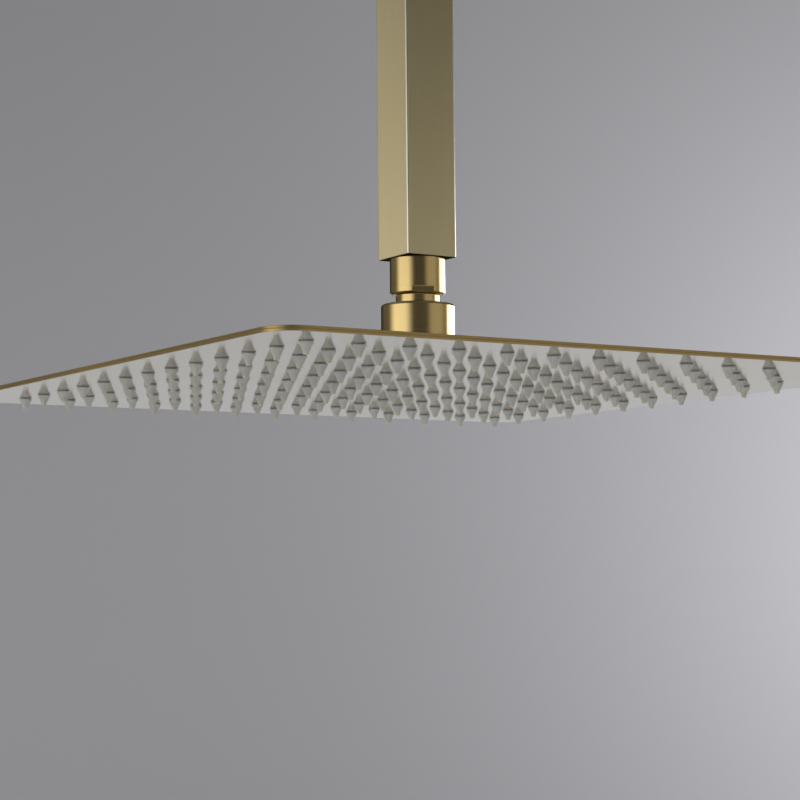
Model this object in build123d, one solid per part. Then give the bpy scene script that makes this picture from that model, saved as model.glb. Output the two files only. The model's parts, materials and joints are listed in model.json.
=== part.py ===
from build123d import *
import os
from math import acos, cos, degrees, radians, sin, sqrt

# Rain shower head on a square drop arm, hung from the ceiling.  Millimetres.
#
# The origin is on the arm's axis in the plane of the ceiling.  +Z is up, so the arm hangs
# down from the origin and only the pipe thread that enters the ceiling stands above it.
# The sides of the arm and of the spray plate run along X and Y.
#
# From the top: a thread that screws into the water outlet in the ceiling, a square tube with
# a cover flange that slides on it, a ball connector screwed to the tube's lower end, a nut
# that holds a threaded cup to the ball, and the flat head that the cup is welded to.

# ---- Driving sizes ---------------------------------------------------------------------

# G1/2 pipe thread, at both ends of the arm
thread_radius = 20.955 / 2
inlet_thread_length = 16.0
outlet_thread_length = 11.0
thread_tip_chamfer = 1.0
pipe_bore_radius = 7.5

# Square drop arm
arm_length = 200.0
arm_width = 25.0
arm_wall = 1.5
arm_edge_radius = 1.0
plug_height = 10.0
plug_edge_radius = 1.0

# Ceiling flange that slides on the arm
flange_side = 60.0
flange_height = 7.0
flange_wall = 2.5
flange_floor = 1.5
flange_corner_radius = 3.0
flange_edge_radius = 0.8
flange_hole_gap = 0.25
flange_collar_wall = 3.5
flange_collar_height = 5.0
gasket_thickness = 1.0
gasket_width = 2.0
grip_height = 2.0
grip_depth = 2.0
slide_gap = 0.05

# Ball connector
collar_wall = 1.5
collar_gap = 0.4
collar_floor = 3.1
collar_chamfer = 0.7
flat_depth = 1.0
flat_height = 2.9
flat_turn = -20.0
neck_radius = 9.5
neck_gap = 4.1
neck_fillet = 0.5
ball_radius = 13.0
ball_bore_radius = 6.0
ball_foot_cut = 2.0
thread_gap = 0.05

# Washer, filter screen and flow regulator inside the connector
washer_thickness = 2.0
washer_hole_radius = 7.2
screen_radius = 8.6
screen_thickness = 0.5
screen_hole_radius = 0.55
screen_hole_pitch = 1.7
regulator_radius = 7.4
regulator_height = 4.6
regulator_groove_radius = 4.4
regulator_groove_width = 2.4
regulator_groove_depth = 2.0
regulator_hole_radius = 0.8
regulator_hole_count = 8
regulator_ring_cord = 1.6
insert_gap = 0.1

# Ball joint: how far it tips about X and about Y, and the rings that run on the ball
tilt_limit = 10.0
run_gap = 0.05
liner_thickness = 0.9
liner_bottom_angle = -27.0
seat_bottom_angle = 9.0
seat_flange = 0.4
mouth_gap = 0.35
angle_margin = 1.0
seal_angle = -48.0
seal_cord = 1.8
seal_gap = 0.02

# Retaining nut and the threaded cup it screws onto
nut_wall = 1.55
nut_above_neck_root = 0.43
nut_below_ball = 3.8
nut_rim_radius = 1.2
nut_foot_chamfer = 0.5
cup_top_drop = 4.0
cup_flange_rim = 3.0
cup_flange_height = 2.0
cup_spigot_radius = 10.0

# Spray head
plate_side = 310.0
plate_thickness = 2.0
plate_corner_radius = 12.0
sheet = 0.6
rim_width = 2.5
plate_edge_radius = 0.15
seam_chamfer = 0.15
dome_radius = 27.0
dome_height = 5.7
dome_wall = 1.0
dome_edge_radius = 2.0
feed_hole_radius = 20.0
stud_radius = 2.5
stud_every = 3

# Silicone nozzles
nozzle_pitch = 21.5
nozzle_margin = 20.0
nozzle_base_radius = 2.9
nozzle_foot_radius = 2.35
nozzle_base_height = 0.4
nozzle_tip_radius = 1.05
nozzle_length = 4.8
nozzle_waist = 0.22
nozzle_neck_radius = 2.0
nozzle_head_radius = 3.2
nozzle_head_height = 0.4
nozzle_inlet_radius = 1.3
nozzle_orifice_radius = 0.5
nozzle_hole_gap = 0.05

# ---- Sizes that follow from them -------------------------------------------------------

plug_side = arm_width - 2 * arm_wall
collar_radius = thread_radius + thread_gap + collar_wall
collar_height = outlet_thread_length + washer_thickness + collar_floor - collar_gap

# Tipping about both axes at once leans the head by more than either limit.
full_tilt = acos(cos(radians(tilt_limit)) ** 2)
neck_root_angle = acos(neck_radius / ball_radius)
neck_root = sqrt(ball_radius**2 - neck_radius**2)

# Spheres and cylinders of the ball joint, from the ball outwards
ring_bore_radius = ball_radius + run_gap
liner_radius = ring_bore_radius + liner_thickness
cavity_radius = liner_radius + run_gap
seat_radius = cavity_radius + seat_flange
nut_bore_radius = seat_radius + run_gap
nut_radius = nut_bore_radius + nut_wall
cup_radius = nut_bore_radius - thread_gap
cup_flange_radius = nut_radius + cup_flange_rim

# Heights above the ball's centre
nut_top = neck_root + nut_above_neck_root
nut_bottom = -(ball_radius + nut_below_ball)
seat_bottom = ball_radius * sin(radians(seat_bottom_angle))
seat_top = ball_radius * sin(neck_root_angle - full_tilt - radians(angle_margin))
lip_bottom = seat_top + run_gap
liner_top_angle = seat_bottom_angle - tilt_limit - angle_margin
cavity_bottom_angle = liner_bottom_angle - tilt_limit - 2 * angle_margin
cavity_bottom = cavity_radius * sin(radians(cavity_bottom_angle))
seal_centre_radius = (ring_bore_radius + seal_cord / 2) * cos(radians(seal_angle))
seal_centre = (ring_bore_radius + seal_cord / 2) * sin(radians(seal_angle))
seal_floor = seal_centre - seal_cord / 2 - seal_gap
cup_bottom = nut_bottom - cup_flange_height

# Heights in the whole model
arm_bottom = -arm_length
collar_top = arm_bottom - collar_gap
collar_bottom = collar_top - collar_height
thread_end = arm_bottom - outlet_thread_length
socket_floor = thread_end - washer_thickness
ball_z = collar_bottom - neck_gap - nut_top
dome_top_z = ball_z + cup_bottom
plate_top_z = dome_top_z - dome_height
underside_z = plate_top_z - plate_thickness
seam_height = plate_thickness / 2

# As many nozzles as fit between the margins, with one at the centre
nozzle_count = 2 * int((plate_side / 2 - nozzle_margin) / nozzle_pitch) + 1


# ---- Shapes that several pieces share --------------------------------------------------


def turned(*outline):
    """A solid turned about the Z axis from corners given as (radius, height)."""
    return revolve(Plane.XZ * make_face(Polyline(*outline, close=True)), Axis.Z)


def rod(radius, low, high):
    """A round bar or hole about the Z axis between two heights."""
    return Pos(0, 0, low) * extrude(Circle(radius), high - low)


def square_bar(side, corner_radius, low, high):
    """A square bar or hole about the Z axis with rounded corners, between two heights."""
    return Pos(0, 0, low) * extrude(RectangleRounded(side, side, corner_radius), high - low)


def on_ball(shape):
    """A shape drawn about the ball's centre, put where the ball is."""
    return Pos(0, 0, ball_z) * shape


def on_underside(shape):
    """A shape drawn above and below the spray plate's face, put where that face is."""
    return Pos(0, 0, underside_z) * shape


# ---- Arm -------------------------------------------------------------------------------


def arm_tube():
    outside = square_bar(arm_width, arm_edge_radius, arm_bottom, 0)
    inner_radius = plug_edge_radius / 2
    return outside - square_bar(plug_side, inner_radius, arm_bottom, 0)


def inlet_nipple():
    plug = square_bar(plug_side, plug_edge_radius, -plug_height, 0)
    tip = inlet_thread_length + thread_tip_chamfer
    nipple = turned(
        (0, 0),
        (thread_radius, 0),
        (thread_radius, inlet_thread_length),
        (thread_radius - thread_tip_chamfer, tip),
        (0, tip),
    )
    return plug + nipple - rod(pipe_bore_radius, -plug_height, tip)


def outlet_nipple():
    plug = square_bar(plug_side, plug_edge_radius, arm_bottom, arm_bottom + plug_height)
    nipple = turned(
        (0, arm_bottom),
        (thread_radius, arm_bottom),
        (thread_radius, thread_end + thread_tip_chamfer),
        (thread_radius - thread_tip_chamfer, thread_end),
        (0, thread_end),
    )
    return plug + nipple - rod(pipe_bore_radius, thread_end, arm_bottom + plug_height)


# ---- Ceiling flange --------------------------------------------------------------------


def ceiling_flange():
    top = -gasket_thickness
    bottom = top - flange_height
    shell = square_bar(flange_side, flange_corner_radius, bottom, top)
    shell = fillet(shell.faces().sort_by(Axis.Z)[0].edges(), flange_edge_radius)
    hollow_side = flange_side - 2 * flange_wall
    hollow_corner = max(flange_corner_radius - flange_wall, flange_edge_radius)
    shell -= square_bar(hollow_side, hollow_corner, bottom + flange_floor, top)
    hole_side = arm_width + 2 * flange_hole_gap
    hole_corner = arm_edge_radius + flange_hole_gap
    collar_side = hole_side + 2 * flange_collar_wall
    collar_corner = hole_corner + flange_collar_wall
    shell += square_bar(collar_side, collar_corner, bottom, bottom + flange_collar_height)
    shell -= square_bar(hole_side, hole_corner, bottom, top)
    return shell - grip_groove()


def grip_middle():
    return -gasket_thickness - flange_height + flange_collar_height / 2


def grip_groove():
    side = arm_width + 2 * (slide_gap + grip_depth)
    corner = arm_edge_radius + slide_gap + grip_depth
    low = grip_middle() - grip_height / 2
    return square_bar(side, corner, low, low + grip_height)


def flange_grip():
    low = grip_middle() - grip_height / 2
    hole_side = arm_width + 2 * slide_gap
    hole_corner = arm_edge_radius + slide_gap
    return grip_groove() - square_bar(hole_side, hole_corner, low, low + grip_height)


def flange_gasket():
    outer = square_bar(flange_side, flange_corner_radius, -gasket_thickness, 0)
    hole_corner = max(flange_corner_radius - gasket_width, flange_edge_radius)
    hole_side = flange_side - 2 * gasket_width
    return outer - square_bar(hole_side, hole_corner, -gasket_thickness, 0)


# ---- Ball connector and what is inside it ----------------------------------------------


def ball_connector():
    neck = rod(neck_radius, 0, collar_bottom - ball_z)
    ball = Sphere(ball_radius) - rod(ball_radius, -ball_radius, -ball_radius + ball_foot_cut)
    collar = rod(collar_radius, collar_bottom, collar_top)
    collar = chamfer(collar.edges().sort_by(Axis.Z)[0], collar_chamfer)
    body = on_ball(ball + neck) + collar
    body = fillet(neck_corner(body), neck_fillet)
    body -= spanner_flats()
    body -= rod(thread_radius + thread_gap, socket_floor, collar_top)
    body -= rod(screen_radius + insert_gap, socket_floor - screen_thickness, socket_floor)
    regulator_bottom = socket_floor - screen_thickness - regulator_height
    body -= rod(regulator_radius + insert_gap, regulator_bottom, socket_floor)
    return body - rod(ball_bore_radius, ball_z - ball_radius, socket_floor)


def neck_corner(body):
    """The inside corner where the neck meets the collar."""
    rings = body.edges().filter_by(GeomType.CIRCLE)
    at_collar = rings.filter_by_position(Axis.Z, collar_bottom - 0.01, collar_bottom + 0.01)
    return at_collar.sort_by(lambda edge: edge.radius)[0]


def spanner_flats():
    width = 3 * collar_radius
    high = collar_bottom + flat_height
    slab = Pos(0, collar_radius - flat_depth + width / 2, high - width / 2) * Box(width, width, width)
    pair = slab + Rot(0, 0, 180) * slab
    within_collar = rod(width, collar_bottom, high)
    return Rot(0, 0, flat_turn) * (pair & within_collar)


def connector_washer():
    outer = rod(thread_radius - insert_gap, socket_floor, thread_end)
    return outer - rod(washer_hole_radius, socket_floor, thread_end)


def filter_screen():
    disc = Circle(screen_radius)
    reach = washer_hole_radius - 2 * screen_hole_radius
    steps = int(reach / screen_hole_pitch) + 1
    for row in range(-steps, steps + 1):
        for column in range(-steps, steps + 1):
            x = (column + row / 2) * screen_hole_pitch
            y = row * screen_hole_pitch * sqrt(3) / 2
            if x * x + y * y < reach * reach:
                disc -= Pos(x, y) * Circle(screen_hole_radius)
    return Pos(0, 0, socket_floor - screen_thickness) * extrude(disc, screen_thickness)


def regulator_top():
    return socket_floor - screen_thickness


def flow_regulator():
    top = regulator_top()
    groove_floor = top - regulator_groove_depth
    body = rod(regulator_radius, top - regulator_height, top)
    outer_wall = regulator_groove_radius + regulator_groove_width / 2
    inner_wall = regulator_groove_radius - regulator_groove_width / 2
    body -= rod(outer_wall, groove_floor, top) - rod(inner_wall, groove_floor, top)
    hole = rod(regulator_hole_radius, top - regulator_height, top)
    for place in PolarLocations(regulator_groove_radius, regulator_hole_count):
        body -= place * hole
    return body


def regulator_ring():
    height = regulator_top() - regulator_groove_depth + regulator_ring_cord / 2
    return Pos(0, 0, height) * Torus(regulator_groove_radius, regulator_ring_cord / 2)


# ---- Rings that run on the ball --------------------------------------------------------


def ball_liner():
    low = ring_bore_radius * sin(radians(liner_bottom_angle))
    high = ring_bore_radius * sin(radians(liner_top_angle))
    band = rod(2 * liner_radius, low, high)
    return on_ball(band & (Sphere(liner_radius) - Sphere(ring_bore_radius)))


def seat_ring():
    return on_ball(rod(seat_radius, seat_bottom, seat_top) - Sphere(ring_bore_radius))


# ---- Nut and threaded cup --------------------------------------------------------------


def mouth_radius(height):
    """Room for the neck in the nut's mouth when the head leans as far as it goes."""
    return (neck_radius + height * sin(full_tilt)) / cos(full_tilt) + mouth_gap


def swivel_nut():
    nut = turned(
        (nut_bore_radius, nut_bottom),
        (nut_radius, nut_bottom),
        (nut_radius, nut_top),
        (mouth_radius(nut_top), nut_top),
        (mouth_radius(lip_bottom), lip_bottom),
        (nut_bore_radius, lip_bottom),
    )
    nut = fillet(outer_rings(nut)[-1], nut_rim_radius)
    return on_ball(chamfer(outer_rings(nut)[0], nut_foot_chamfer))


def outer_rings(nut):
    """The circles on the nut's outside, from the lowest to the highest."""
    rings = nut.edges().filter_by(GeomType.CIRCLE)
    return rings.filter_by(lambda ring: ring.radius > nut_radius - 0.01).sort_by(Axis.Z)


def inlet_cup():
    cup = turned(
        (pipe_bore_radius, seal_floor),
        (pipe_bore_radius, cup_bottom - dome_wall),
        (cup_spigot_radius, cup_bottom - dome_wall),
        (cup_spigot_radius, cup_bottom),
        (cup_flange_radius, cup_bottom),
        (cup_flange_radius, nut_bottom),
        (cup_radius, nut_bottom),
        (cup_radius, -cup_top_drop),
        (0, -cup_top_drop),
        (0, seal_floor),
    )
    cup -= Sphere(cavity_radius) & rod(2 * cavity_radius, cavity_bottom, cavity_radius)
    cup -= Sphere(ring_bore_radius)
    groove_radius = seal_centre_radius + seal_cord / 2 + seal_gap
    return on_ball(cup - rod(groove_radius, seal_floor, cavity_bottom))


def ball_seal():
    return on_ball(Pos(0, 0, seal_centre) * Torus(seal_centre_radius, seal_cord / 2))


# ---- Spray head ------------------------------------------------------------------------


def inlet_dome():
    low = plate_thickness
    high = plate_thickness + dome_height
    dome = rod(dome_radius, low, high)
    dome = fillet(dome.edges().sort_by(Axis.Z)[-1], dome_edge_radius)
    hollow = rod(dome_radius - dome_wall, low, high - dome_wall)
    hollow = fillet(hollow.edges().sort_by(Axis.Z)[-1], dome_edge_radius - dome_wall)
    return on_underside(dome - hollow - rod(cup_spigot_radius, low, high))


def pan():
    """A shallow square pan, face down: a thin sheet with a rim that reaches up to the seam."""
    body = square_bar(plate_side, plate_corner_radius, 0, seam_height)
    body = fillet(body.faces().sort_by(Axis.Z)[0].edges(), plate_edge_radius)
    body = chamfer(body.faces().sort_by(Axis.Z)[-1].edges(), seam_chamfer)
    inner_side = plate_side - 2 * rim_width
    return body - square_bar(inner_side, plate_corner_radius - rim_width, sheet, seam_height)


def top_plate():
    plate = Pos(0, 0, plate_thickness) * Rot(180, 0, 0) * pan()
    return on_underside(plate - rod(feed_hole_radius, seam_height, plate_thickness))


def spray_plate():
    hole = Circle(nozzle_neck_radius + nozzle_hole_gap)
    holes = Sketch() + [place * hole for place in nozzle_places()]
    return on_underside(pan() - extrude(holes, sheet))


def nozzle_places():
    return GridLocations(nozzle_pitch, nozzle_pitch, nozzle_count, nozzle_count).locations


def support_studs():
    """Welded studs that hold the two sheets together, each in a gap between four nozzles."""
    stud = rod(stud_radius, sheet, plate_thickness - sheet)
    spacing = stud_every * nozzle_pitch
    along_side = 2 * ((nozzle_count - 1) // (2 * stud_every))
    places = GridLocations(spacing, spacing, along_side, along_side)
    return on_underside(Compound([place * stud for place in places]))


def nozzles():
    tip = -nozzle_length
    top = sheet + nozzle_head_height
    corners = Polyline(
        (nozzle_tip_radius, tip),
        (nozzle_orifice_radius, tip),
        (nozzle_orifice_radius, tip + 1.0),
        (nozzle_inlet_radius, 0),
        (nozzle_inlet_radius, top),
        (nozzle_head_radius, top),
        (nozzle_head_radius, sheet),
        (nozzle_neck_radius, sheet),
        (nozzle_neck_radius, 0),
        (nozzle_foot_radius, 0),
        (nozzle_base_radius, -nozzle_base_height),
    )
    middle_radius = (nozzle_base_radius + nozzle_tip_radius) / 2 - nozzle_waist
    middle_height = (tip - nozzle_base_height) / 2
    flank = ThreePointArc(corners @ 1, (middle_radius, middle_height), corners @ 0)
    nozzle = revolve(Plane.XZ * make_face(corners + flank), Axis.Z)
    return on_underside(Compound([place * nozzle for place in nozzle_places()]))


# ---- Write every piece -----------------------------------------------------------------

pieces = [
    arm_tube,
    inlet_nipple,
    outlet_nipple,
    ceiling_flange,
    flange_gasket,
    flange_grip,
    ball_connector,
    connector_washer,
    filter_screen,
    flow_regulator,
    regulator_ring,
    ball_liner,
    seat_ring,
    swivel_nut,
    inlet_cup,
    ball_seal,
    inlet_dome,
    top_plate,
    spray_plate,
    support_studs,
    nozzles,
]

os.makedirs("parts", exist_ok=True)
for piece in pieces:
    export_step(piece(), f"parts/{piece.__name__}.step")

print(f"ball centre at z = {ball_z:.3f}, spray face at z = {underside_z:.3f}")
print(f"the head leans up to {degrees(full_tilt):.1f} degrees")
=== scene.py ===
import json
import math
import random

import bmesh
import bpy
from mathutils import Matrix, Vector


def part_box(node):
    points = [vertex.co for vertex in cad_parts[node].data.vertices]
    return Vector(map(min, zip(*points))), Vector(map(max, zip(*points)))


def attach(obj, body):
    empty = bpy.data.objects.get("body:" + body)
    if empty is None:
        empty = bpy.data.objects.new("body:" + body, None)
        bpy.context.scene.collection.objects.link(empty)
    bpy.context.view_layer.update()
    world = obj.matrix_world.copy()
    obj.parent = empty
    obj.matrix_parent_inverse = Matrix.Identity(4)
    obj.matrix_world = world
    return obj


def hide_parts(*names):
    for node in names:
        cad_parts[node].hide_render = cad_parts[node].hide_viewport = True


# Ceiling rain shower head on a square drop arm: materials, finely modelled nozzles and inlet
# thread, and a plain studio.  Metres, in the frame of the CAD model: the origin is on the
# arm's axis in the plane of the ceiling, +Z is up and the plate's sides run along X and Y.

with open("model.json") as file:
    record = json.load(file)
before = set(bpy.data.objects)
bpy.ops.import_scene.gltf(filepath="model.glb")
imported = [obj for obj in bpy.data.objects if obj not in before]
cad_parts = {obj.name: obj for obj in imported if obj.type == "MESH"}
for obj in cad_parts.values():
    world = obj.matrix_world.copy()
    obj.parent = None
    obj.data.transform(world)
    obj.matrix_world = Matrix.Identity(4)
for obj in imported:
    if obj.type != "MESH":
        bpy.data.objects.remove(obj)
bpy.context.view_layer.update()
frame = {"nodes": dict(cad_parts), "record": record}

MM = 0.001
CREASE_ANGLE = math.radians(35)
MIDDLE = (0.3, 0.7)  # where most values of a layered noise lie
NARROW = (0.35, 0.65)  # the same for a single noise
random.seed(7)


# ---- Node materials --------------------------------------------------------------------


class Shader:
    """One material and a few short ways to add nodes to it."""

    def __init__(self, name):
        self.material = bpy.data.materials.new(name)
        self.material.use_nodes = True
        self.tree = self.material.node_tree
        self.bsdf = self.tree.nodes["Principled BSDF"]
        self.place = self.add("ShaderNodeTexCoord").outputs["Object"]

    def add(self, kind, **settings):
        node = self.tree.nodes.new(kind)
        for name, value in settings.items():
            setattr(node, name, value)
        return node

    def feed(self, socket, value):
        """Links an output to a socket, or sets the socket to a plain value."""
        if isinstance(value, bpy.types.NodeSocket):
            self.tree.links.new(value, socket)
        else:
            socket.default_value = value

    def stretch(self, x, y, z):
        """The place on the piece, stretched, for a pattern with streaks."""
        node = self.add("ShaderNodeVectorMath", operation="MULTIPLY")
        self.feed(node.inputs[0], self.place)
        node.inputs[1].default_value = (x, y, z)
        return node.outputs["Vector"]

    def height(self):
        split = self.add("ShaderNodeSeparateXYZ")
        self.feed(split.inputs[0], self.place)
        return split.outputs["Z"]

    def noise(self, vector, scale=1.0, detail=2.0, rough=0.5):
        node = self.add("ShaderNodeTexNoise")
        self.feed(node.inputs["Vector"], vector)
        node.inputs["Scale"].default_value = scale
        node.inputs["Detail"].default_value = detail
        node.inputs["Roughness"].default_value = rough
        return node.outputs["Fac"]

    def spread(self, value, low, high, start=0.0, end=1.0):
        """value from start..end, mapped to low..high."""
        node = self.add("ShaderNodeMapRange")
        self.feed(node.inputs["Value"], value)
        node.inputs["From Min"].default_value = start
        node.inputs["From Max"].default_value = end
        node.inputs["To Min"].default_value = low
        node.inputs["To Max"].default_value = high
        return node.outputs["Result"]

    def maths(self, operation, first, second=0.0):
        node = self.add("ShaderNodeMath", operation=operation)
        self.feed(node.inputs[0], first)
        self.feed(node.inputs[1], second)
        return node.outputs["Value"]

    def mix(self, amount, first, second):
        """A colour between two colours."""
        node = self.add("ShaderNodeMix", data_type="RGBA")
        self.feed(node.inputs["Factor"], amount)
        self.feed(node.inputs["A"], first)
        self.feed(node.inputs["B"], second)
        return node.outputs["Result"]

    def edges(self, radius):
        """1 on sharp edges and 0 on flat faces, from how far a bevelled normal turns."""
        bevel = self.add("ShaderNodeBevel", samples=6)
        bevel.inputs["Radius"].default_value = radius
        normal = self.add("ShaderNodeNewGeometry").outputs["Normal"]
        dot = self.add("ShaderNodeVectorMath", operation="DOT_PRODUCT")
        self.feed(dot.inputs[0], bevel.outputs["Normal"])
        self.feed(dot.inputs[1], normal)
        return self.spread(dot.outputs["Value"], 1.0, 0.0, 0.75, 0.98)

    def bump(self, height, strength, distance):
        node = self.add("ShaderNodeBump")
        node.inputs["Strength"].default_value = strength
        node.inputs["Distance"].default_value = distance
        self.feed(node.inputs["Height"], height)
        self.feed(self.bsdf.inputs["Normal"], node.outputs["Normal"])

    def tangent(self, axis, turn):
        node = self.add("ShaderNodeTangent", direction_type="RADIAL", axis=axis)
        self.feed(self.bsdf.inputs["Tangent"], node.outputs["Tangent"])
        self.bsdf.inputs["Anisotropic Rotation"].default_value = turn

    def set(self, **values):
        for name, value in values.items():
            self.feed(self.bsdf.inputs[name.replace("_", " ")], value)


# Painted highlight: sharp edges are painted a little brighter than the faces beside them
PAINTED_HIGHLIGHT_GAIN = 1.18
PAINTED_HIGHLIGHT_SHARE = 0.35
PAINTED_HIGHLIGHT_RADIUS = 0.4 * MM


def brushed_metal(name, pale, deep, grain, rough, anisotropy, axis, turn, rim=None):
    """Metal with streaks: grain is how often the pattern repeats along X, Y and Z, per metre.

    rim is (low, high, colour, added roughness): how it changes between those two heights.
    """
    s = Shader(name)
    fine = s.noise(s.stretch(*grain), detail=3.0, rough=0.6)
    broad = s.noise(s.stretch(*(g / 5.0 for g in grain)), detail=2.0)
    clouds = s.noise(s.place, scale=18.0, detail=3.0)
    streaks = s.maths("ADD", s.maths("MULTIPLY", fine, 0.5), s.maths("MULTIPLY", broad, 0.5))
    shade = s.maths("ADD", s.maths("MULTIPLY", streaks, 0.7), s.maths("MULTIPLY", clouds, 0.3))
    colour = s.mix(s.spread(shade, 0.0, 1.0, *MIDDLE), deep, pale)
    # painted highlight: a brighter copy of the pale colour is mixed in on sharp edges
    highlight_colour = [min(1.0, channel * PAINTED_HIGHLIGHT_GAIN) for channel in pale[:3]]
    painted_highlight = s.maths("MULTIPLY", s.edges(PAINTED_HIGHLIGHT_RADIUS), PAINTED_HIGHLIGHT_SHARE)
    colour = s.mix(painted_highlight, colour, (*highlight_colour, 1.0))
    roughness = s.spread(streaks, *rough, *MIDDLE)
    if rim:
        low, high, other, added = rim
        on_rim = s.spread(s.height(), 0.0, 1.0, low, high)
        colour = s.mix(on_rim, colour, other)
        roughness = s.maths("ADD", roughness, s.maths("MULTIPLY", on_rim, added))
    s.set(Base_Color=colour, Roughness=roughness, Metallic=1.0, Anisotropic=anisotropy)
    s.tangent(axis, turn)
    s.bump(streaks, 0.15, 0.03 * MM)
    return s.material


def speckled(name, pale, deep, rough, scale, bump_height, metallic):
    """A moulded or machined surface with fine grain and slow changes of shade.

    scale is how often the grain repeats, per metre, and bump_height is in millimetres.
    """
    s = Shader(name)
    grain = s.noise(s.place, scale=scale, detail=4.0)
    clouds = s.noise(s.place, scale=scale / 20.0, detail=2.0)
    both = s.maths("ADD", s.maths("MULTIPLY", grain, 0.5), s.maths("MULTIPLY", clouds, 0.5))
    s.set(Base_Color=s.mix(s.spread(both, 0.0, 1.0, *NARROW), deep, pale), Metallic=metallic)
    s.set(Roughness=s.spread(grain, *rough, *NARROW))
    s.bump(grain, 0.3, bump_height * MM)
    return s.material


MILK_PALE = (0.86, 0.87, 0.825, 1)
MILK_DEEP = (0.78, 0.79, 0.745, 1)
MILK_TIP_GLOW = (0.98, 0.86, 0.63, 1)
TIP_GLOW_LENGTH = 2.0 * MM


def silicone(name):
    """Milky silicone: pale, with a painted warm glow of backlight towards the tips, and a fine
    moulded grain.
    """
    s = Shader(name)
    grain = s.noise(s.place, scale=2500.0, detail=3.0)
    clouds = s.noise(s.place, scale=60.0, detail=2.0)
    tip_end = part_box("nozzles")[0].z
    # painted glow: the tips turn warm, standing in for light shining through them from behind
    tip = s.spread(s.height(), 1.0, 0.0, tip_end, tip_end + TIP_GLOW_LENGTH)
    body = s.mix(s.spread(clouds, 0.0, 1.0, *NARROW), MILK_DEEP, MILK_PALE)
    s.set(Base_Color=s.mix(s.maths("MULTIPLY", tip, 0.7), body, MILK_TIP_GLOW))
    s.set(Roughness=s.spread(grain, 0.30, 0.46, *NARROW), Subsurface_Weight=0.35)
    s.set(Subsurface_Radius=(1.0, 0.85, 0.65), Subsurface_Scale=1.2 * MM, IOR=1.41)
    s.bump(grain, 0.25, 0.02 * MM)
    return s.material


# Arm and flange, the arm's edges (paler: a painted highlight), the turned pieces, the head's
# sheets, and the spray face
GOLD_PALE = (0.95, 0.83, 0.52, 1.0)
GOLD_PALE_DEEP = (0.90, 0.78, 0.475, 1.0)
GOLD_EDGE_HIGHLIGHT = (1.0, 0.93, 0.70, 1.0)
GOLD_EDGE_HIGHLIGHT_DEEP = (0.95, 0.87, 0.63, 1.0)
GOLD_RICH = (0.76, 0.58, 0.275, 1.0)
GOLD_RICH_DEEP = (0.63, 0.46, 0.19, 1.0)
GOLD_PLATE = (0.62, 0.455, 0.195, 1.0)
GOLD_PLATE_DEEP = (0.52, 0.375, 0.15, 1.0)
FACE = (0.60, 0.53, 0.43, 1.0)
FACE_DEEP = (0.52, 0.455, 0.36, 1.0)

# The lower sheet is polished below and plate gold on its rim, with a short change between them
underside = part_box("spray_plate")[0].z
SPRAY_RIM = (underside + 0.04 * MM, underside + 0.14 * MM, GOLD_PLATE, 0.33)

MATERIALS = {
    "brushed_gold": brushed_metal(
        "brushed_gold", GOLD_PALE, GOLD_PALE_DEEP, (3200, 3200, 30), (0.50, 0.58), 0.95, "Z", 0.0
    ),
    "rubbed_highlight_edge": brushed_metal(
        "rubbed_highlight_edge", GOLD_EDGE_HIGHLIGHT, GOLD_EDGE_HIGHLIGHT_DEEP, (3200, 3200, 30), (0.26, 0.34), 0.6, "Z", 0.0
    ),
    "turned_gold": brushed_metal(
        "turned_gold", GOLD_RICH, GOLD_RICH_DEEP, (5, 5, 4200), (0.19, 0.28), 0.4, "Z", 0.25
    ),
    "plate_gold": brushed_metal(
        "plate_gold", GOLD_PLATE, GOLD_PLATE_DEEP, (45, 3600, 3600), (0.40, 0.50), 0.45, "X", 0.0
    ),
    "spray_face": brushed_metal(
        "spray_face", FACE, FACE_DEEP, (30, 1800, 1800), (0.08, 0.15), 0.4, "X", 0.0, rim=SPRAY_RIM
    ),
    "silicone": silicone("silicone"),
}

# (name, pale, deep, roughness, grain per metre, bump height in mm, metallic)
SPECKLED = (
    # painted shade: nearly black, for the dark gap under the arm at the sawn ends
    ("painted_shade_brass", (0.050, 0.036, 0.020), (0.028, 0.020, 0.012), (0.80, 0.95), 900, 0.03, 1.0),
    ("plain_brass", (0.68, 0.50, 0.22), (0.56, 0.39, 0.16), (0.22, 0.36), 900, 0.02, 1.0),
    ("steel_mesh", (0.62, 0.62, 0.61), (0.48, 0.48, 0.48), (0.25, 0.40), 1500, 0.02, 1.0),
    ("black_rubber", (0.030, 0.030, 0.031), (0.016, 0.016, 0.017), (0.50, 0.72), 1800, 0.04, 0.0),
    ("grey_foam", (0.16, 0.16, 0.165), (0.09, 0.09, 0.095), (0.80, 0.95), 1600, 0.15, 0.0),
    ("white_plastic", (0.78, 0.77, 0.72), (0.70, 0.69, 0.64), (0.32, 0.46), 1200, 0.02, 0.0),
)
for name, pale, deep, *rest in SPECKLED:
    MATERIALS[name] = speckled(name, (*pale, 1), (*deep, 1), *rest)

# The stub's end shows under the arm; like the arm's own sawn end it is painted nearly black, a
# painted shade for the gap under the arm
slot_of = {row["node"]: row["material_slot"] for row in frame["record"]["subparts"]}
for node, piece in frame["nodes"].items():
    piece.data.materials.clear()
    finish = "painted_shade_brass" if node == "outlet_nipple" else slot_of[node]
    piece.data.materials.append(MATERIALS[finish])


# ---- Pieces modelled here --------------------------------------------------------------


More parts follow.
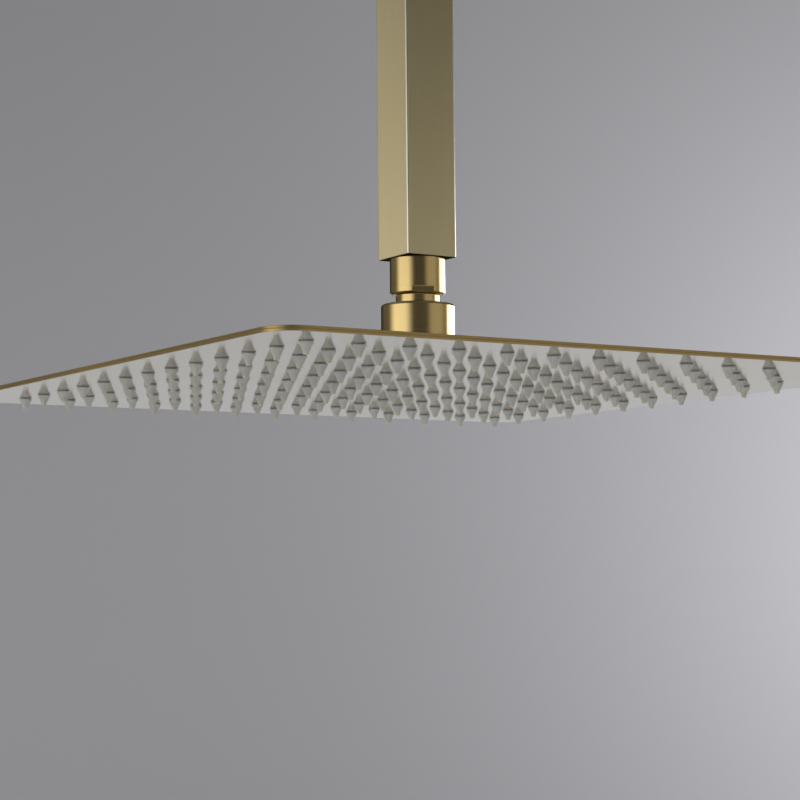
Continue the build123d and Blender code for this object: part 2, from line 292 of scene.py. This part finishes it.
def make_piece(name, points, faces, material, body, node):
    """A smooth-shaded piece that rides on a body and may stand for a CAD node; gives its mesh."""
    mesh = bpy.data.meshes.new(name)
    mesh.from_pydata(points, [], faces)
    mesh.materials.append(MATERIALS[material])
    work = bmesh.new()
    work.from_mesh(mesh)
    bmesh.ops.recalc_face_normals(work, faces=work.faces)
    for edge in work.edges:
        edge.smooth = edge.calc_face_angle(0.0) < CREASE_ANGLE
    for face in work.faces:
        face.smooth = True
    work.to_mesh(mesh)
    work.free()
    piece = bpy.data.objects.new(name, mesh)
    bpy.context.collection.objects.link(piece)
    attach(piece, body)
    if node:
        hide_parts(node)
    return mesh


def ring_solid(outline, segments, phase=0.0):
    """A closed solid turned about Z from a closed outline of (radius, height).

    A radius may also be a function of the angle, for a ring that isn't round.
    """
    points = []
    for step in range(segments):
        angle = phase + 2 * math.pi * step / segments
        for radius, height in outline:
            r = radius(angle) if callable(radius) else radius
            points.append((r * math.cos(angle), r * math.sin(angle), height))
    count = len(outline)
    faces = []
    for step in range(segments):
        here = step * count
        after = (step + 1) % segments * count
        for i in range(count):
            j = (i + 1) % count
            faces.append((here + i, after + i, after + j, here + j))
    return points, faces


def joined(parts):
    """Several (points, faces) as one."""
    points = []
    faces = []
    for some_points, some_faces in parts:
        start = len(points)
        points.extend(some_points)
        faces.extend(tuple(start + corner for corner in face) for face in some_faces)
    return points, faces


# Square arm: brushed flat sides, rubbed rounded edges painted paler as a highlight, and sawn ends
# painted nearly black as shade
EDGE_STEPS = 8
END_CHAMFER = 0.15 * MM
ARM_WALL = 1.5 * MM
ARM_CORNER = 1.0 * MM
ARM_BORE_CORNER = 0.5 * MM
FLAT, RUBBED_HIGHLIGHT, SAWN_SHADE = range(3)  # the arm's material slots


def rounded_square(half, corner, height):
    """A rounded square's points in turn, with one arc for each corner."""
    points = []
    diagonal = (half - corner) * math.sqrt(2)
    for quarter in range(4):
        facing = math.pi / 4 + quarter * math.pi / 2
        centre = (diagonal * math.cos(facing), diagonal * math.sin(facing))
        for step in range(EDGE_STEPS + 1):
            angle = facing - math.pi / 4 + step / EDGE_STEPS * math.pi / 2
            x = centre[0] + corner * math.cos(angle)
            y = centre[1] + corner * math.sin(angle)
            points.append((x, y, height))
    return points


def arm_body():
    low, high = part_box("arm_tube")
    half = high.x
    rings = [
        rounded_square(half - END_CHAMFER, ARM_CORNER - END_CHAMFER, low.z),
        rounded_square(half, ARM_CORNER, low.z + END_CHAMFER),
        rounded_square(half, ARM_CORNER, high.z - END_CHAMFER),
        rounded_square(half - END_CHAMFER, ARM_CORNER - END_CHAMFER, high.z),
        rounded_square(half - ARM_WALL, ARM_BORE_CORNER, high.z),
        rounded_square(half - ARM_WALL, ARM_BORE_CORNER, low.z),
    ]
    outside_rows = 3
    count = len(rings[0])
    points = [point for ring in rings for point in ring]
    faces = []
    kinds = []
    for row in range(len(rings)):
        after = (row + 1) % len(rings)
        for i in range(count):
            j = (i + 1) % count
            faces.append((row * count + i, row * count + j, after * count + j, after * count + i))
            outside = RUBBED_HIGHLIGHT if i % (EDGE_STEPS + 1) < EDGE_STEPS else FLAT
            kinds.append(outside if row < outside_rows else SAWN_SHADE)
    mesh = make_piece("arm_body", points, faces, "brushed_gold", "arm", "arm_tube")
    # the rubbed edges' paler gold is a painted highlight
    mesh.materials.append(MATERIALS["rubbed_highlight_edge"])
    # the sawn ends' near black is painted shade
    mesh.materials.append(MATERIALS["painted_shade_brass"])
    for face, kind in zip(mesh.polygons, kinds):
        face.material_index = kind


# Silicone nozzles: a waisted cone that stands on a narrower foot, with an open, rounded tip
NOZZLE_ROWS = 13
NOZZLE_SEGMENTS = 24
NOZZLE_FLANK_STEPS = 9
NOZZLE_WAIST = 0.22 * MM
NOZZLE_LEAN = 0.10 * MM

# Radii and heights on one nozzle, in millimetres
HEAD_REACH = 3.2  # of the head that the sheet holds, as in the CAD
HEAD_RADIUS = 3.18
INLET_RADIUS = 1.30
NECK_RADIUS = 2.00
SHEET = 0.60
FOOT_RADIUS = 2.25
UNDERCUT = 0.32  # from the sheet down to the cone's widest part
CONE_RADIUS = 2.90
TIP_RADIUS = 1.05
TIP_ROUND = 0.22
ORIFICE_RADIUS = 0.50


def nozzle_outline(top, face, tip):
    """The closed outline of one nozzle, from inside the head down to the tip and back up."""
    shoulder = face - UNDERCUT * MM
    outline = [
        (INLET_RADIUS * MM, top),
        (HEAD_RADIUS * MM, top),
        (HEAD_RADIUS * MM, face + SHEET * MM),
        (NECK_RADIUS * MM, face + SHEET * MM),
        (NECK_RADIUS * MM, face),
        (FOOT_RADIUS * MM, face),
        # the narrow foot flares into the cone's rounded upper edge
        (2.30 * MM, shoulder + 0.06 * MM),
        (2.82 * MM, shoulder + 0.05 * MM),
        (CONE_RADIUS * MM, shoulder - 0.03 * MM),
    ]
    flank_top = shoulder - 0.10 * MM
    flank_end = tip + TIP_ROUND * MM
    for step in range(NOZZLE_FLANK_STEPS + 1):
        t = step / NOZZLE_FLANK_STEPS
        waist = NOZZLE_WAIST * math.sin(math.pi * t)
        radius = CONE_RADIUS * MM + (TIP_RADIUS - CONE_RADIUS) * MM * t - waist
        outline.append((radius, flank_top + (flank_end - flank_top) * t))
    # the rounded tip, and 1 mm up into the orifice
    outline.extend([
        (0.97 * MM, tip + 0.06 * MM),
        (0.84 * MM, tip),
        (0.62 * MM, tip),
        (ORIFICE_RADIUS * MM, tip + 0.14 * MM),
        (ORIFICE_RADIUS * MM, tip + 1.00 * MM),
    ])
    return outline


def nozzle_places():
    """The nozzles' middles; the head nearest each side touches the box of them all."""
    low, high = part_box("nozzles")
    first = low.x + HEAD_REACH * MM
    pitch = (high.x - low.x - 2 * HEAD_REACH * MM) / (NOZZLE_ROWS - 1)
    return [
        (first + column * pitch, first + row * pitch)
        for row in range(NOZZLE_ROWS)
        for column in range(NOZZLE_ROWS)
    ]


def nozzle_set():
    low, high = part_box("nozzles")
    outline = nozzle_outline(high.z, underside, low.z)
    parts = []
    for x, y in nozzle_places():
        points, faces = ring_solid(outline, NOZZLE_SEGMENTS, random.uniform(0.0, math.pi))
        lean_x = random.uniform(-NOZZLE_LEAN, NOZZLE_LEAN)
        lean_y = random.uniform(-NOZZLE_LEAN, NOZZLE_LEAN)
        placed = []
        for px, py, pz in points:
            depth = max(0.0, (underside - pz) / (underside - low.z))
            placed.append((x + px + lean_x * depth**2, y + py + lean_y * depth**2, pz))
        parts.append((placed, faces))
    make_piece("nozzle_set", *joined(parts), "silicone", "head", "nozzles")


# Inlet: a square plug brazed into the arm and a G1/2 thread cut on the pipe above it
THREAD_PITCH = 25.4 * MM / 14
THREAD_CREST = 10.4775 * MM
THREAD_DEPTH = 1.16 * MM
THREAD_STEPS = 48
THREAD_FADE = THREAD_STEPS / 2.5  # steps over which the ridge rises from the root
RIDGE_SUNK = 0.15 * MM
RIDGE_SKIN = 0.02 * MM
BORE_RADIUS = 7.5 * MM
PLUG_SEGMENTS = 144
PLUG_CHAMFER = 0.25 * MM


def square_radius(half, corner):
    """How far a rounded square reaches from its middle, at an angle."""

    def reach(angle):
        c = abs(math.cos(angle))
        s = abs(math.sin(angle))
        along, across = max(c, s), min(c, s)
        if half * across / along <= half - corner:
            return half / along
        middle = half - corner
        dot = middle * (c + s)
        return dot + math.sqrt(dot * dot - (2 * middle * middle - corner * corner))

    return reach


def thread_ridge(low, high, root):
    """One helical ridge from low to high that fades into the root at both ends."""
    turns = (high - low) / THREAD_PITCH - 1.0
    sections = int(turns * THREAD_STEPS)
    crest_half = 0.11 * THREAD_PITCH
    root_half = 0.46 * THREAD_PITCH
    points = []
    width = 8  # points in each section
    for k in range(sections + 1):
        angle = 2 * math.pi * k / THREAD_STEPS
        middle = low + THREAD_PITCH * (0.5 + k / THREAD_STEPS)
        fade = min(1.0, k / THREAD_FADE, (sections - k) / THREAD_FADE)
        crest = root + max(RIDGE_SKIN, (THREAD_CREST - root) * fade)
        shape = (
            (root - RIDGE_SUNK, -root_half),
            (root + RIDGE_SKIN, -root_half),
            (crest - 0.10 * MM, -crest_half - 0.05 * MM),
            (crest, -crest_half),
            (crest, crest_half),
            (crest - 0.10 * MM, crest_half + 0.05 * MM),
            (root + RIDGE_SKIN, root_half),
            (root - RIDGE_SUNK, root_half),
        )
        for r, z in shape:
            points.append((r * math.cos(angle), r * math.sin(angle), middle + z))
    faces = []
    for k in range(sections):
        here = k * width
        after = here + width
        for i in range(width):
            j = (i + 1) % width
            faces.append((here + i, after + i, after + j, here + j))
    faces.append(tuple(range(width)))
    faces.append(tuple(sections * width + i for i in reversed(range(width))))
    return points, faces


def inlet_thread():
    low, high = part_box("inlet_nipple")
    half = high.x
    root = THREAD_CREST - THREAD_DEPTH
    plug = square_radius(half, 1.0 * MM)
    plug_edge = square_radius(half - PLUG_CHAMFER, 0.9 * MM)
    body = ring_solid(
        [
            (BORE_RADIUS, low.z),
            (plug_edge, low.z),
            (plug, low.z + PLUG_CHAMFER),
            (plug, -PLUG_CHAMFER),
            (plug_edge, 0.0),
            (THREAD_CREST - 0.2 * MM, 0.0),
            (THREAD_CREST - 0.3 * MM, 1.2 * MM),
            (root, 1.8 * MM),
            (root, high.z - 0.9 * MM),
            (root - 0.6 * MM, high.z),
            (BORE_RADIUS + 0.4 * MM, high.z),
            (BORE_RADIUS, high.z - 0.5 * MM),
        ],
        PLUG_SEGMENTS,
    )
    ridge = thread_ridge(1.0 * MM, high.z - 0.4 * MM, root)
    pipe = joined([body, ridge])
    make_piece("inlet_thread", *pipe, "plain_brass", "arm", "inlet_nipple")


# Weld beads round the foot of the dome and round the cup on top of it
WELD_RIPPLES = 150
WELD_WAVES = 11.0  # slower unevenness from the welder's hand
WELD_SEGMENTS = 600
WELD_PROFILE_STEPS = 7


def weld_bead(name, radius, height, size):
    """A small rippled bead in the corner between a round wall and the flat sheet under it."""
    points = []
    faces = []
    for step in range(WELD_SEGMENTS):
        angle = 2 * math.pi * step / WELD_SEGMENTS
        ripple = 1.0 + 0.06 * math.sin(angle * WELD_RIPPLES) + 0.05 * math.sin(angle * WELD_WAVES)
        for i in range(WELD_PROFILE_STEPS):
            around_bead = 2 * math.pi * i / WELD_PROFILE_STEPS
            r = radius + size * ripple * 0.5 * (1.0 + math.cos(around_bead)) - size * 0.35
            z = height + size * ripple * 0.42 * (1.0 + math.sin(around_bead)) - size * 0.20
            points.append((r * math.cos(angle), r * math.sin(angle), z))
    for step in range(WELD_SEGMENTS):
        here = step * WELD_PROFILE_STEPS
        after = (step + 1) % WELD_SEGMENTS * WELD_PROFILE_STEPS
        for i in range(WELD_PROFILE_STEPS):
            j = (i + 1) % WELD_PROFILE_STEPS
            faces.append((here + i, after + i, after + j, here + j))
    make_piece(name, points, faces, "plate_gold", "head", None)


arm_body()
nozzle_set()
inlet_thread()
dome_low, dome_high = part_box("inlet_dome")
cup_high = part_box("inlet_cup")[1]
weld_bead("dome_weld", dome_high.x, dome_low.z, 0.9 * MM)
weld_bead("cup_weld", cup_high.x, dome_high.z, 0.7 * MM)


# ---- Studio and camera -----------------------------------------------------------------

face_centre = Vector((0.0, 0.0, underside))

# Where the camera stands from the centre of the spray face, and which way it looks
CAMERA_OFFSET = Vector((-0.4956, -0.7755, -0.0854))
LOOK_TURN = math.radians(57.92)
LOOK_RISE = math.radians(4.95)
LOOK_ROLL = math.radians(-0.52)
LENS = 95.76  # in mm, on a sensor 36 mm wide


def camera():
    data = bpy.data.cameras.new("camera")
    data.lens = LENS
    data.sensor_width = 36.0
    data.clip_start = 0.01
    data.clip_end = 100.0
    eye = bpy.data.objects.new("camera", data)
    bpy.context.collection.objects.link(eye)
    flat = math.cos(LOOK_RISE)
    forward = Vector((math.cos(LOOK_TURN) * flat, math.sin(LOOK_TURN) * flat, math.sin(LOOK_RISE)))
    right = forward.cross(Vector((0, 0, 1))).normalized()
    up = right.cross(forward)
    rolled_right = right * math.cos(LOOK_ROLL) + up * math.sin(LOOK_ROLL)
    rolled_up = up * math.cos(LOOK_ROLL) - right * math.sin(LOOK_ROLL)
    turn = Matrix((rolled_right, rolled_up, -forward)).transposed()
    eye.matrix_world = Matrix.Translation(face_centre + CAMERA_OFFSET) @ turn.to_4x4()
    bpy.context.scene.camera = eye


CAMERA_TURN = math.atan2(CAMERA_OFFSET.y, CAMERA_OFFSET.x)


def around(turn, distance, height):
    """A point that far from the arm's axis, turned about it from the camera's own direction."""
    angle = CAMERA_TURN + math.radians(turn)
    return Vector((distance * math.cos(angle), distance * math.sin(angle), height))


class Sky:
    """Soft light by direction: a few wide patches with faded edges, like large softboxes."""

    def __init__(self):
        self.world = bpy.data.worlds.new("studio")
        self.world.use_nodes = True
        self.tree = self.world.node_tree
        turned = self.tree.nodes.new("ShaderNodeVectorRotate")
        turned.rotation_type = "Z_AXIS"
        turned.inputs["Angle"].default_value = -CAMERA_TURN
        direction = self.tree.nodes.new("ShaderNodeTexCoord").outputs["Generated"]
        self.tree.links.new(direction, turned.inputs["Vector"])
        split = self.tree.nodes.new("ShaderNodeSeparateXYZ")
        self.tree.links.new(turned.outputs["Vector"], split.inputs[0])
        self.height = split.outputs["Z"]
        self.turn = self.maths("ARCTAN2", split.outputs["Y"], split.outputs["X"])
        self.light = (0.0, 0.0, 0.0)

    def maths(self, operation, first, second=0.0):
        node = self.tree.nodes.new("ShaderNodeMath")
        node.operation = operation
        for socket, value in zip(node.inputs, (first, second)):
            if isinstance(value, bpy.types.NodeSocket):
                self.tree.links.new(value, socket)
            else:
                socket.default_value = value
        return node.outputs["Value"]

    def fade(self, value, middle, full, none):
        """1 within full of the middle, falling softly to 0 at none."""
        away = self.maths("ABSOLUTE", self.maths("SUBTRACT", value, middle))
        node = self.tree.nodes.new("ShaderNodeMapRange")
        node.interpolation_type = "SMOOTHSTEP"
        self.tree.links.new(away, node.inputs["Value"])
        node.inputs["From Min"].default_value = none
        node.inputs["From Max"].default_value = full
        return node.outputs["Result"]

    def patch(self, colour, strength, turn, rise):
        """Adds a patch; turn and rise are (middle, full, none), in degrees and in sine."""
        amount = strength
        if turn:
            amount = self.maths("MULTIPLY", amount, self.fade(self.turn, *map(math.radians, turn)))
        amount = self.maths("MULTIPLY", amount, self.fade(self.height, *rise))
        scaled = self.tree.nodes.new("ShaderNodeVectorMath")
        scaled.operation = "SCALE"
        scaled.inputs[0].default_value = colour
        self.tree.links.new(amount, scaled.inputs["Scale"])
        added = self.tree.nodes.new("ShaderNodeVectorMath")
        added.operation = "ADD"
        self.tree.links.new(scaled.outputs["Vector"], added.inputs[0])
        if isinstance(self.light, tuple):
            added.inputs[1].default_value = self.light
        else:
            self.tree.links.new(self.light, added.inputs[1])
        self.light = added.outputs["Vector"]

    def use(self):
        self.tree.links.new(self.light, self.tree.nodes["Background"].inputs["Color"])
        bpy.context.scene.world = self.world


WARM = (1.0, 0.985, 0.95)
COOL = (0.96, 0.98, 1.0)
HONEY = (1.0, 0.95, 0.83)

# (colour, strength, turn from the camera's direction, sine of the rise)
PATCHES = (
    (COOL, 0.018, None, (0.0, 1.0, 1.1)),  # the whole room
    (COOL, 0.29, None, (-0.6, 0.58, 0.62)),  # the floor beyond the studio floor
    (WARM, 0.06, (90, 40, 150), (-0.6, 0.58, 0.62)),  # a little more of it, on the right
    (WARM, 0.17, (-106, 24, 46), (0.23, 0.08, 0.14)),  # pale room, behind on the left
    (WARM, 0.34, (72, 26, 50), (0.165, 0.025, 0.075)),  # pale room on the right
    (WARM, 1.68, (-57, 15, 46), (0.0, 0.02, 0.38)),  # key, left of the camera
    (HONEY, 0.36, (62, 14, 34), (0.0, 0.02, 0.36)),  # fill, right of the camera
    (WARM, 6.5, (141, 26, 40), (0.09, 0.04, 0.09)),  # rim, behind on the right
    (COOL, 0.24, None, (-0.12, 0.07, 0.11)),  # the far floor, low behind the plate
    (COOL, 0.20, None, (0.72, 0.06, 0.28)),  # a ring overhead
)


def stage_lamp(name, turn, distance, height, size, power, target):
    """A lamp that lights the floor or the backdrop and never shows in the metal."""
    light = bpy.data.lights.new(name, "AREA")
    light.shape = "DISK"
    light.size = size
    light.energy = power
    lamp = bpy.data.objects.new(name, light)
    bpy.context.collection.objects.link(lamp)
    lamp.location = around(turn, distance, height)
    lamp.rotation_mode = "QUATERNION"
    lamp.rotation_quaternion = (target - lamp.location).to_track_quat("-Z", "Y")
    lamp.visible_camera = False
    lamp.visible_glossy = False


def plane(name, corners, material):
    mesh = bpy.data.meshes.new(name)
    mesh.from_pydata(corners, [], [tuple(range(len(corners)))])
    mesh.materials.append(material)
    piece = bpy.data.objects.new(name, mesh)
    bpy.context.collection.objects.link(piece)
    return piece


def plain_surface(name, colour):
    s = Shader(name)
    s.set(Base_Color=(*colour, 1.0), Roughness=0.9)
    return s.material


camera()

FLOOR_Z = underside - 0.9
FLOOR_HALF = 4.0
plane(
    "floor",
    [(x * FLOOR_HALF, y * FLOOR_HALF, FLOOR_Z) for x, y in ((-1, -1), (1, -1), (1, 1), (-1, 1))],
    plain_surface("pale_floor", (0.62, 0.62, 0.63)),
)

# The backdrop is only there for the camera: the light passes it.
WALL_DISTANCE = 2.6
WALL_HALF = 4.0
WALL_TOP = 3.0
wall_middle = around(180, WALL_DISTANCE, 0)
wall_along = Vector((-wall_middle.y, wall_middle.x, 0)).normalized() * WALL_HALF
backdrop = plane(
    "backdrop",
    [
        wall_middle + wall_along * side + Vector((0, 0, z))
        for side, z in ((-1, FLOOR_Z), (1, FLOOR_Z), (1, WALL_TOP), (-1, WALL_TOP))
    ],
    plain_surface("pale_wall", (0.52, 0.52, 0.55)),
)
backdrop.visible_glossy = False
backdrop.visible_diffuse = False
backdrop.visible_shadow = False

stage_lamp("wall_right", 144, 1.96, -0.25, 0.9, 12, around(156, 2.85, -0.25))
stage_lamp("wall_left", -142, 1.65, -0.6, 0.9, 3.5, around(-159, 2.79, -0.6))
stage_lamp("floor_lamp", 0, 0.0, underside - 0.12, 1.6, 9, Vector((0, 0, FLOOR_Z)))

sky = Sky()
for patch in PATCHES:
    sky.patch(*patch)
sky.use()
bpy.context.scene.view_settings.view_transform = "Standard"
